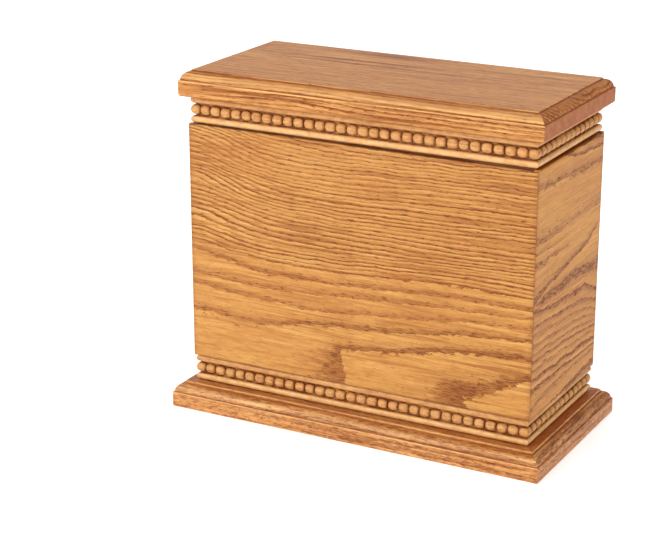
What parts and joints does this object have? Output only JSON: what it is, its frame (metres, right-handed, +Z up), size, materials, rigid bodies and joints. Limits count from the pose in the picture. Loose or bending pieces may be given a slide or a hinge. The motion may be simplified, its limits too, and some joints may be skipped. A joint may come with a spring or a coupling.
{
  "type": "cremation urn box",
  "caption": "Upright rectangular wooden urn box with a moulded plinth, bead mouldings below and above the walls, a hollow chamber and a moulded lid that lifts off.",
  "frame": {"origin": "middle of the footprint, on the plinth's underside", "axes": "+Z up, +X along the front towards its right end, +Y from the front to the back, so the front faces -Y"},
  "size_m": [0.2894, 0.1434, 0.2506],
  "materials": {
    "plinth_oak": "satin varnished oak, stained a warm reddish honey",
    "wall_oak": "satin varnished golden oak with flat-sawn figure",
    "bead_oak": "satin varnished light moulding with dark stain in its grooves",
    "lid_oak": "satin varnished golden oak, straight grain, soft sheen"
  },
  "bodies": {
    "root": {"plinth": "plinth_oak", "base_bead_front": "bead_oak", "base_bead_right": "bead_oak", "base_bead_back": "bead_oak", "base_bead_left": "bead_oak", "wall_front": "wall_oak", "wall_right": "wall_oak", "wall_back": "wall_oak", "wall_left": "wall_oak", "lid_bead_front": "bead_oak", "lid_bead_right": "bead_oak", "lid_bead_back": "bead_oak", "lid_bead_left": "bead_oak", "lid_board": "lid_oak"}
  },
  "joints": []
}
